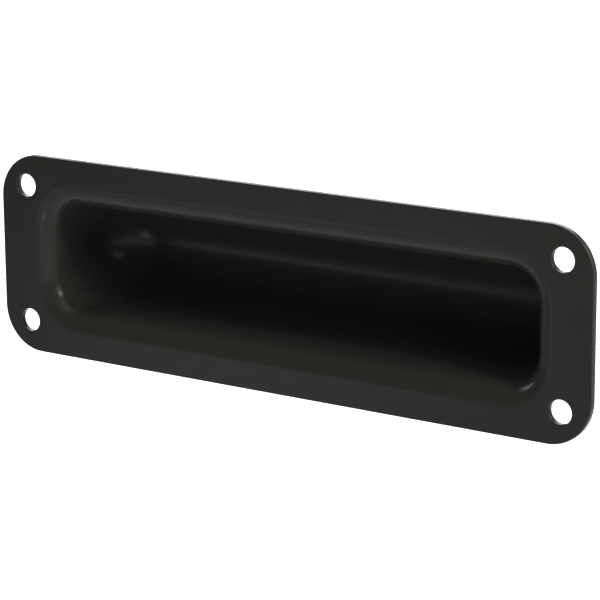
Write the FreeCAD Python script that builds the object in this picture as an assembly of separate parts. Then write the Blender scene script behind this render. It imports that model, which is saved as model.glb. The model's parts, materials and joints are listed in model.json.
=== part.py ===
import FreeCAD, Part
import math
import os

# Recessed pull handle, pressed from one sheet of steel: a flat flange with a screw hole in each
# corner, and a deep finger recess whose back is one full round, closed by balls at its two ends.
# Millimetres. X runs along the handle and Z is up. The flange's back lies on the panel, in the
# plane Y = 0, with the origin at its centre. The handle faces -Y and the recess goes towards +Y.

# Flange
FLANGE_LENGTH = 150.0
FLANGE_HEIGHT = 45.0
FLANGE_CORNER_R = 10.0
SHEET = 1.5

# Screw holes, one near each corner
HOLE_DIA = 5.2
HOLE_INSET = 7.0

# Recess, measured on its inner walls where they would meet the flange's front face: the rims run
# from there to the flange's edge, and the walls lean in by the draft. A corner's radius grows from
# the one given here, at the flange's front, to that of the round at the back.
END_RIM = 13.5
SIDE_RIM = 10.4
RECESS_DEPTH = 24.5
RECESS_CORNER_R = 5.0
DRAFT_DEG = 3.0
LIP_R = 4.8

# Lengths closer than this count as equal
NEAR = 0.001

# What follows from the sizes above. The round's axis runs along X at ROUND_Y, and the balls that
# close its ends are centred at ROUND_X either way.
FRONT = -SHEET
BACK = FRONT + RECESS_DEPTH
MOUTH_X = FLANGE_LENGTH / 2 - END_RIM
MOUTH_Z = FLANGE_HEIGHT / 2 - SIDE_RIM
DRAFT = math.radians(DRAFT_DEG)
LEAN = math.tan(DRAFT)
ROUND_R = (MOUTH_Z - RECESS_DEPTH * LEAN) / (1 / math.cos(DRAFT) - LEAN)
ROUND_X = MOUTH_X - MOUTH_Z
ROUND_Y = BACK - ROUND_R


def flange_slab():
    """The flange before anything is pressed or punched in it."""
    corner = FreeCAD.Vector(-FLANGE_LENGTH / 2, FRONT, -FLANGE_HEIGHT / 2)
    block = Part.makeBox(FLANGE_LENGTH, SHEET, FLANGE_HEIGHT, corner)
    return block.makeFillet(FLANGE_CORNER_R, [edge for edge in block.Edges if edge.BoundBox.YLength > NEAR])


def wall_lines(grow, y_from):
    """A wall's distance from the round's axis at y_from and where it runs into the round, and the
    depth of that join. grow moves the wall outwards by that much."""
    radius = ROUND_R + grow
    mouth = radius / math.cos(DRAFT) + (ROUND_Y - y_from) * LEAN
    return mouth, radius * math.cos(DRAFT), ROUND_Y + radius * math.sin(DRAFT)


def straight_run(grow, y_from):
    """The recess between the centres of its two end balls, as a profile run along X."""
    mouth, join, join_y = wall_lines(grow, y_from)

    def place(z, y):
        return FreeCAD.Vector(-ROUND_X, y, z)
    edges = [Part.LineSegment(place(-mouth, y_from), place(mouth, y_from)),
             Part.LineSegment(place(mouth, y_from), place(join, join_y)),
             Part.Arc(place(join, join_y), place(0, BACK + grow), place(-join, join_y)),
             Part.LineSegment(place(-join, join_y), place(-mouth, y_from))]
    profile = Part.Face(Part.Wire([edge.toShape() for edge in edges]))
    return profile.extrude(FreeCAD.Vector(2 * ROUND_X, 0, 0))


def corner_ball_and_cone(grow):
    """The ball behind the corner at +X +Z with a cone from it that touches both walls all the way
    and is as wide as the corner radius asks for at the flange's front. Gives the cone's tip too."""
    centre = FreeCAD.Vector(ROUND_X, ROUND_Y, 0)
    inset = RECESS_CORNER_R / math.cos(DRAFT)
    axis = FreeCAD.Vector(MOUTH_X - inset, FRONT, MOUTH_Z - inset) - centre
    taper = math.asin((ROUND_R - RECESS_CORNER_R) / axis.Length)
    axis.normalize()
    across = axis.cross(FreeCAD.Vector(-1, 0, 1)).normalize()
    radius = ROUND_R + grow

    def on_ball(turn):
        return centre + axis * (radius * math.sin(turn)) + across * (radius * math.cos(turn))
    pole, middle, touch = [on_ball(turn) for turn in (-math.pi / 2, (taper - math.pi / 2) / 2, taper)]
    tip = centre + axis * (radius / math.sin(taper))
    outline = Part.Wire([Part.Arc(pole, middle, touch).toShape(), Part.makeLine(touch, tip),
                         Part.makeLine(tip, pole)])
    return Part.Face(outline).revolve(centre, axis, 360), tip


def corner_core(grow, y_from, tip):
    """The flat-sided inside of the same corner. It reaches the walls, as far as the lines where the
    cone touches them."""
    mouth, join, join_y = wall_lines(grow, y_from)
    touch_x, touch_z = FreeCAD.Vector(ROUND_X + join, join_y, 0), FreeCAD.Vector(ROUND_X, join_y, join)
    share = (y_from - join_y) / (tip.y - join_y)
    top_x, top_z = [touch + (tip - touch) * share for touch in (touch_x, touch_z)]
    far_x, far_z = FreeCAD.Vector(ROUND_X + mouth, y_from, 0), FreeCAD.Vector(ROUND_X, y_from, mouth)
    middle, centre = FreeCAD.Vector(ROUND_X, y_from, 0), FreeCAD.Vector(ROUND_X, ROUND_Y, 0)
    sides = ([middle, far_x, top_x, top_z, far_z],  # mouth
             [far_x, touch_x, top_x],               # end wall
             [far_z, top_z, touch_z],               # side wall
             [top_x, touch_x, touch_z, top_z],      # inside the cone
             [centre, touch_z, touch_x],            # inside the ball
             [middle, centre, touch_x, far_x],      # against the mirrored corner
             [middle, far_z, touch_z, centre])      # against the straight run
    return Part.makeSolid(Part.makeShell([Part.Face(Part.makePolygon(side + side[:1])) for side in sides]))


def recess_solid(grow, y_from):
    """The recess filled in from y_from: its hollow, or with grow its outside. One corner is mirrored
    to make an end, and two ends close the straight run."""
    turned, tip = corner_ball_and_cone(grow)
    span = 2 * FLANGE_LENGTH
    quarter = Part.makeBox(span, span, span, FreeCAD.Vector(ROUND_X, y_from, 0))
    corner = corner_core(grow, y_from, tip).fuse(turned.common(quarter))
    centre, along, up = FreeCAD.Vector(0, 0, 0), FreeCAD.Vector(1, 0, 0), FreeCAD.Vector(0, 0, 1)
    end = corner.fuse(corner.mirror(centre, up))
    return straight_run(grow, y_from).fuse([end, end.mirror(centre, along)]).removeSplitter()


def lip_edges(shape, y):
    """The edges of the recess that lie flat at y, clear of the flange's own outline."""
    def is_lip(edge):
        box = edge.BoundBox
        flat = abs(box.YMin - y) < NEAR and abs(box.YMax - y) < NEAR
        inside_x = max(abs(box.XMin), box.XMax) < MOUTH_X + LIP_R
        inside_z = max(abs(box.ZMin), box.ZMax) < MOUTH_Z + LIP_R
        return flat and inside_x and inside_z
    return [edge for edge in shape.Edges if is_lip(edge)]


def screw_holes():
    """The four plain holes, as rods that reach through the flange."""
    x, z = FLANGE_LENGTH / 2 - HOLE_INSET, FLANGE_HEIGHT / 2 - HOLE_INSET
    return [Part.makeCylinder(HOLE_DIA / 2, 3 * SHEET, FreeCAD.Vector(side_x * x, -2 * SHEET, side_z * z),
                              FreeCAD.Vector(0, 1, 0)) for side_x in (1, -1) for side_z in (1, -1)]


def handle_dish():
    """The flange and the recess behind it, as one sheet with a round lip between them."""
    body = flange_slab().fuse(recess_solid(SHEET, FRONT / 2)).removeSplitter()
    body = body.makeFillet(LIP_R - SHEET, lip_edges(body, 0.0))
    body = body.cut(recess_solid(0.0, 2 * FRONT))
    body = body.makeFillet(LIP_R, lip_edges(body, FRONT))
    return body.cut(screw_holes())


os.makedirs("parts", exist_ok=True)
dish = handle_dish()
dish.exportStep("parts/handle_dish.step")
print("solids", len(dish.Solids), "valid", dish.isValid(), "volume", round(dish.Volume, 1))
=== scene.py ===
import json
import math

import bmesh
import bpy
from mathutils import Matrix, Quaternion, Vector


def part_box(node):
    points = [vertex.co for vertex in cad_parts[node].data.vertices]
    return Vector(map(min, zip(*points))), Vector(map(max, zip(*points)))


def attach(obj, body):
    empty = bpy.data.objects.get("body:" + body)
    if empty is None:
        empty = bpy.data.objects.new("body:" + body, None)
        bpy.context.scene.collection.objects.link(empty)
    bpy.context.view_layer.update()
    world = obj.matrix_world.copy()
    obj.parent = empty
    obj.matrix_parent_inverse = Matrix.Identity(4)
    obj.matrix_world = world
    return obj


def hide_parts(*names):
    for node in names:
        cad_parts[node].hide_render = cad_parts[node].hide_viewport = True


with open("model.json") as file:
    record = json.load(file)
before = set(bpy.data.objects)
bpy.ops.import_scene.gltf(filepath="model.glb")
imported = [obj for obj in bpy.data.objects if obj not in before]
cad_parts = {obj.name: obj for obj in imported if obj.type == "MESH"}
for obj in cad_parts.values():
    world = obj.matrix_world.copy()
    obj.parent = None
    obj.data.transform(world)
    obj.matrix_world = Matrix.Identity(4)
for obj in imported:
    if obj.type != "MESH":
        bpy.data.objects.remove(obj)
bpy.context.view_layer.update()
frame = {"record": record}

# The handle's sizes, in metres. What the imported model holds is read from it.
DISH = "handle_dish"
low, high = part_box(DISH)
HALF_LENGTH, HALF_HEIGHT = high.x, high.z
FRONT, SHEET = low.y, -low.y
RECESS_DEPTH = high.y - SHEET - FRONT
MOUNTS = {mount["name"]: mount["dims"] for mount in frame["record"]["mounts"]}
SCREWS = MOUNTS["screw_holes"]
HOLE_X, HOLE_Z = SCREWS["spacing_x_mm"] / 2000, SCREWS["spacing_y_mm"] / 2000
HOLE_R = SCREWS["hole_r_mm"] / 1000

# The pressing's own forms
FLANGE_CORNER_R = 0.010
END_RIM = 0.0135
SIDE_RIM = 0.0104
RECESS_CORNER_R = 0.005
LIP_R = 0.0048
DRAFT = math.radians(3.0)

# A small round eases every edge that turns by more than this angle
EDGE_ROUND = 0.0002
EDGE_ANGLE = math.radians(50)

# How finely the rounds are divided
CORNER_STEPS = 24
LIP_STEPS = 16
WALL_STEPS = 3
ROUND_STEPS = 32
HOLE_STEPS = 64
EDGE_STEPS = 3

# A narrow flat band beside each round, so that the flange shades as flat
BAND = 0.0005

# Points closer than this are one point
MERGE = 1e-7

MOUTH_X, MOUTH_Z = HALF_LENGTH - END_RIM, HALF_HEIGHT - SIDE_RIM
LEAN = math.tan(DRAFT)
ROUND_R = (MOUTH_Z - RECESS_DEPTH * LEAN) / (1 / math.cos(DRAFT) - LEAN)
OUT, INWARD = Vector((0, -1, 0)), Vector((0, 1, 0))

# A ball closes each end of the round at the back. From it a cone runs to every corner of the mouth.
BALL = Vector((MOUTH_X - MOUTH_Z, FRONT + RECESS_DEPTH - ROUND_R, 0))
CORNER_INSET = RECESS_CORNER_R / math.cos(DRAFT)
CONE_AXIS = Vector((MOUTH_X - CORNER_INSET, FRONT, MOUTH_Z - CORNER_INSET)) - BALL
CONE_TIP = BALL + CONE_AXIS * ROUND_R / (ROUND_R - RECESS_CORNER_R)


# Pressing

def rounded_outline(bm, inset):
    """The flange's outline, or a loop this far inside it, as edges in its front face."""
    place = Matrix.Translation((0, FRONT, 0)) @ Matrix.Rotation(math.pi / 2, 4, "X")
    place = place @ Matrix.Diagonal((HALF_LENGTH - inset, HALF_HEIGHT - inset, 1, 1))
    plate = bmesh.ops.create_grid(bm, x_segments=1, y_segments=1, size=1, matrix=place)
    face = plate["verts"][0].link_faces[0]
    made = bmesh.ops.bevel(bm, geom=list(face.verts), offset=FLANGE_CORNER_R - inset,
                           offset_type="OFFSET", affect="VERTICES", segments=CORNER_STEPS,
                           profile=0.5, material=-1, clamp_overlap=False)
    face = made["verts"][0].link_faces[0]
    edges = list(face.edges)
    bmesh.ops.delete(bm, geom=[face], context="FACES_ONLY")
    return edges


def punched_rim(bm, x, z, radius):
    """A circle of edges in the flange's front face."""
    place = Matrix.Translation((x, FRONT, z)) @ Matrix.Rotation(math.pi / 2, 4, "X")
    made = bmesh.ops.create_circle(bm, cap_ends=False, radius=radius, segments=HOLE_STEPS,
                                   matrix=place)
    return list({edge for vert in made["verts"] for edge in vert.link_edges})


def wall_normals():
    """The ways the wall faces outwards, from the end wall round the corner to the side wall."""
    end = Vector((math.cos(DRAFT), math.sin(DRAFT), 0))
    side = Vector((0, math.sin(DRAFT), math.cos(DRAFT)))
    axis = CONE_AXIS.normalized()
    turn = (end - axis * end.dot(axis)).angle(side - axis * side.dot(axis))
    return [Quaternion(axis, turn * step / CORNER_STEPS) @ end for step in range(CORNER_STEPS + 1)]


def recess_column(normal):
    """Points from the flange round the lip, down the cone and round the ball to the middle of the
    back, at the place where the wall faces this way."""
    touch = BALL + normal * ROUND_R
    line = touch - CONE_TIP
    lip_centre = CONE_TIP + normal * LIP_R
    lip_centre += line * ((FRONT + LIP_R - lip_centre.y) / line.y)
    outwards = Vector((normal.x, 0, normal.z)).normalized()
    lip = [lip_centre + LIP_R * OUT.slerp(-normal, step / LIP_STEPS)
           for step in range(LIP_STEPS + 1)]
    wall = [lip[-1].lerp(touch, step / WALL_STEPS) for step in range(1, WALL_STEPS)]
    back = [BALL + ROUND_R * normal.slerp(INWARD, step / ROUND_STEPS)
            for step in range(ROUND_STEPS + 1)]
    return [lip[0] + outwards * BAND] + lip + wall + back


def press_recess(bm):
    """The recess as one skin: a grid is laid over a quarter of it and mirrored twice. Returns the
    edges where the flange joins."""
    columns = [recess_column(normal) for normal in wall_normals()]
    columns.insert(0, [Vector((point.x, point.y, 0)) for point in columns[0]])
    columns.append([Vector((0, point.y, point.z)) for point in columns[-1]])
    points = [point for column in columns for point in column]
    grid = bmesh.ops.create_grid(bm, x_segments=len(columns[0]) - 1,
                                 y_segments=len(columns) - 1, size=1)
    for vert, point in zip(grid["verts"], points, strict=True):
        vert.co = point
    for axis in "XZ":
        bmesh.ops.mirror(bm, geom=bm.verts[:] + bm.edges[:] + bm.faces[:],
                         matrix=Matrix.Identity(4), merge_dist=MERGE, axis=axis)
    bmesh.ops.remove_doubles(bm, verts=bm.verts, dist=MERGE)
    return [edge for edge in bm.edges if edge.is_boundary]


def banded_edge(bm, edge_loop, inner_loop):
    """A narrow band of the flange along one of its edges. Returns the loop that the rest joins."""
    bmesh.ops.bridge_loops(bm, edges=edge_loop + inner_loop)
    return inner_loop


def blank_flange(bm, mouth):
    """The flat flange round the recess, with its four holes punched."""
    open_loops = mouth + banded_edge(bm, rounded_outline(bm, 0), rounded_outline(bm, BAND))
    for side_x in (-1, 1):
        for side_z in (-1, 1):
            centre = side_x * HOLE_X, side_z * HOLE_Z
            rim, rest = punched_rim(bm, *centre, HOLE_R), punched_rim(bm, *centre, HOLE_R + BAND)
            open_loops += banded_edge(bm, rim, rest)
    bmesh.ops.triangle_fill(bm, use_beauty=True, edges=open_loops, normal=(0, -1, 0))


def pressed_dish():
    """The whole handle: one skin, which gets the sheet's thickness behind it and eased edges."""
    bm = bmesh.new()
    blank_flange(bm, press_recess(bm))
    bmesh.ops.recalc_face_normals(bm, faces=bm.faces)
    if sum(face.normal.y * face.calc_area() for face in bm.faces) > 0:
        bmesh.ops.reverse_faces(bm, faces=bm.faces)
    mesh = bpy.data.meshes.new("pressed_dish")
    bm.to_mesh(mesh)
    bm.free()
    mesh.shade_smooth()
    dish = bpy.data.objects.new("pressed_dish", mesh)
    bpy.context.scene.collection.objects.link(dish)
    wall = dish.modifiers.new("sheet", "SOLIDIFY")
    wall.thickness, wall.offset = SHEET, -1
    wall.use_even_offset = wall.use_quality_normals = True
    eased = dish.modifiers.new("eased_edges", "BEVEL")
    eased.width, eased.segments, eased.limit_method = EDGE_ROUND, EDGE_STEPS, "ANGLE"
    eased.angle_limit, eased.use_clamp_overlap = EDGE_ANGLE, False
    flat = dish.modifiers.new("flat_faces_stay_flat", "WEIGHTED_NORMAL")
    flat.keep_sharp = True
    return dish


# Finish

# The coat's darker and lighter tone, its roughness where it shines most and least, and how much it
# mirrors
COAT_TONES = (0.0205, 0.0205, 0.0182, 1), (0.0235, 0.0235, 0.0208, 1)
COAT_ROUGHNESS = 0.22, 0.28
COAT_SPECULAR = 0.12

# Soft clouds in the tone and the gloss, and the finer orange peel: waves per metre and how many
# finer layers each has. The peel's height is in metres.
CLOUD_SCALE, CLOUD_DETAIL = 90.0, 3.0
PEEL_SCALE, PEEL_DETAIL = 900.0, 2.0
PEEL_STRENGTH, PEEL_HEIGHT = 0.05, 0.0001


def node(tree, kind, **sockets):
    """A shader node with some of its inputs set or linked, by name."""
    made = tree.nodes.new(kind)
    for name, value in sockets.items():
        socket = made.inputs[name.replace("_", " ")]
        if isinstance(value, bpy.types.NodeSocket):
            tree.links.new(value, socket)
        else:
            socket.default_value = value
    return made


def black_powder_coat():
    """A black powder coat: satin, with a faint orange peel and a little unevenness in its gloss."""
    coat = bpy.data.materials.new("black_powder_coat")
    coat.use_nodes = True
    tree = coat.node_tree
    shader = tree.nodes["Principled BSDF"]
    shader.inputs["Specular IOR Level"].default_value = COAT_SPECULAR
    place = tree.nodes.new("ShaderNodeTexCoord").outputs["Object"]
    cloud = node(tree, "ShaderNodeTexNoise", Vector=place, Scale=CLOUD_SCALE, Detail=CLOUD_DETAIL)
    gloss = node(tree, "ShaderNodeMapRange", Value=cloud.outputs["Fac"])
    gloss.inputs["To Min"].default_value, gloss.inputs["To Max"].default_value = COAT_ROUGHNESS
    tree.links.new(gloss.outputs["Result"], shader.inputs["Roughness"])
    tint = tree.nodes.new("ShaderNodeMix")
    tint.data_type = "RGBA"
    tree.links.new(cloud.outputs["Fac"], tint.inputs["Factor"])
    tint.inputs["A"].default_value, tint.inputs["B"].default_value = COAT_TONES
    tree.links.new(tint.outputs["Result"], shader.inputs["Base Color"])
    peel = node(tree, "ShaderNodeTexNoise", Vector=place, Scale=PEEL_SCALE, Detail=PEEL_DETAIL)
    bump = node(tree, "ShaderNodeBump", Height=peel.outputs["Fac"], Strength=PEEL_STRENGTH,
                Distance=PEEL_HEIGHT)
    tree.links.new(bump.outputs["Normal"], shader.inputs["Normal"])
    return coat


# Studio

# The photograph's view, from a fit to the flange's outline and holes: the camera's direction and
# tilt, its distance from the middle of the flange and its moves sideways and up in metres, and its
# lens and film in millimetres
CAMERA_AZIMUTH = math.radians(34.338)
CAMERA_ELEVATION = math.radians(14.028)
CAMERA_ROLL = math.radians(-0.391)
CAMERA_DISTANCE = 0.55508
CAMERA_RIGHT = 0.004873
CAMERA_UP = -0.001646
CAMERA_LENS = 158.0556
CAMERA_FILM = 36

# The nearest and the farthest that the camera sees, in metres
CAMERA_NEAR, CAMERA_FAR = 0.01, 100

# The floor's height and half its side, in metres, and its paper
FLOOR_Z = -0.60
FLOOR_HALF = 12.0
PAPER_WHITE = (0.9, 0.9, 0.9, 1)
PAPER_ROUGHNESS = 0.9


def direction(azimuth, elevation):
    """A unit vector, from angles in radians. Azimuth 0 is straight in front of the flange, and a
    quarter turn is to its right."""
    flat = math.cos(elevation)
    return Vector((math.sin(azimuth) * flat, -math.cos(azimuth) * flat, math.sin(elevation)))


def photo_camera():
    """The camera where the photograph was taken from."""
    back = direction(CAMERA_AZIMUTH, CAMERA_ELEVATION)
    level = Vector((0, 0, 1)).cross(back).normalized()
    upright = back.cross(level)
    right = level * math.cos(CAMERA_ROLL) + upright * math.sin(CAMERA_ROLL)
    up = upright * math.cos(CAMERA_ROLL) - level * math.sin(CAMERA_ROLL)
    place = Vector((0, FRONT, 0)) + back * CAMERA_DISTANCE + right * CAMERA_RIGHT + up * CAMERA_UP
    lens = bpy.data.cameras.new("photo_camera")
    lens.lens, lens.sensor_width = CAMERA_LENS, CAMERA_FILM
    lens.clip_start, lens.clip_end = CAMERA_NEAR, CAMERA_FAR
    camera = bpy.data.objects.new("photo_camera", lens)
    turn = Matrix((right, up, back)).transposed().to_4x4()
    camera.matrix_world = Matrix.Translation(place) @ turn
    bpy.context.scene.collection.objects.link(camera)
    bpy.context.scene.camera = camera


def studio_floor():
    """A plain white floor, well below the handle."""
    bm = bmesh.new()
    bmesh.ops.create_grid(bm, x_segments=1, y_segments=1, size=FLOOR_HALF,
                          matrix=Matrix.Translation((0, 0, FLOOR_Z)))
    mesh = bpy.data.meshes.new("studio_floor")
    bm.to_mesh(mesh)
    bm.free()
    floor = bpy.data.objects.new("studio_floor", mesh)
    bpy.context.scene.collection.objects.link(floor)
    paper = bpy.data.materials.new("white_paper")
    paper.use_nodes = True
    shader = paper.node_tree.nodes["Principled BSDF"]
    shader.inputs["Base Color"].default_value = PAPER_WHITE
    shader.inputs["Roughness"].default_value = PAPER_ROUGHNESS
    shader.inputs["Specular IOR Level"].default_value = 0.0
    mesh.materials.append(paper)


# Soft light from all round, and a large lamp over the floor that the camera sees: metres behind the
# handle and above it, width and length in metres, watts
AMBIENT = 0.12
BACKDROP = (3.2, 1.4, 2.5, 4.5, 150)

# Lamps round the handle: azimuth and elevation in degrees, distance, width and height in metres,
# watts
LAMPS = {
    # Large softboxes, for the flange and the walls that face each of them
    "far_right": (105, 35, 1.0, 0.5, 0.5, 15),
    "right": (75, 27, 1.0, 0.5, 0.5, 3.5),
    "above": (25, 65, 1.0, 0.9, 0.9, 3.5),
    "below": (60, -50, 1.0, 0.9, 0.9, 2),
    # A long low strip, which the left lip shows as an even band
    "strip": (32, -13, 1.0, 2.4, 0.15, 2.2),
    # Small lamps, each for one of the highlights: the line and the patch on the recess's back, and
    # the glints on the mouth's lower corners
    "line": (-35, -16, 0.8, 0.2, 0.05, 0.11),
    "patch": (-5, -26, 0.8, 0.3, 0.1, 0.4),
    "left_glint": (76, 36, 0.8, 0.1, 0.15, 2),
    "right_glint": (-83, 20, 0.8, 0.1, 0.3, 1),
}


def area_lamp(name, place, width, height, watts):
    """A rectangular lamp that shines along its own -Z."""
    lamp = bpy.data.lights.new(name, "AREA")
    lamp.shape, lamp.size, lamp.size_y = "RECTANGLE", width, height
    lamp.energy = watts
    fixture = bpy.data.objects.new(name, lamp)
    fixture.matrix_world = place
    bpy.context.scene.collection.objects.link(fixture)


def lamp_on_handle(name, azimuth, elevation, distance, width, height, watts):
    """A lamp that faces the handle from this direction."""
    towards = direction(math.radians(azimuth), math.radians(elevation))
    turn = towards.to_track_quat("Z", "Y").to_matrix().to_4x4()
    area_lamp(name, Matrix.Translation(towards * distance) @ turn, width, height, watts)


def studio_light():
    """Soft white light all round, lamps round the handle and one that whitens the floor behind."""
    world = bpy.data.worlds.new("studio")
    world.use_nodes = True
    world.node_tree.nodes["Background"].inputs["Color"].default_value = (1, 1, 1, 1)
    world.node_tree.nodes["Background"].inputs["Strength"].default_value = AMBIENT
    bpy.context.scene.world = world
    distance, height, width, length, watts = BACKDROP
    place = Vector((0, 0, height)) - direction(CAMERA_AZIMUTH, 0) * distance
    turn = Matrix.Rotation(CAMERA_AZIMUTH, 4, "Z")
    area_lamp("backdrop", Matrix.Translation(place) @ turn, width, length, watts)
    for name, sizes in LAMPS.items():
        lamp_on_handle(name, *sizes)


dish = pressed_dish()
dish.data.materials.append(black_powder_coat())
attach(dish, "root")
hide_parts(DISH)

photo_camera()
studio_floor()
studio_light()
bpy.context.scene.view_settings.view_transform = "Standard"
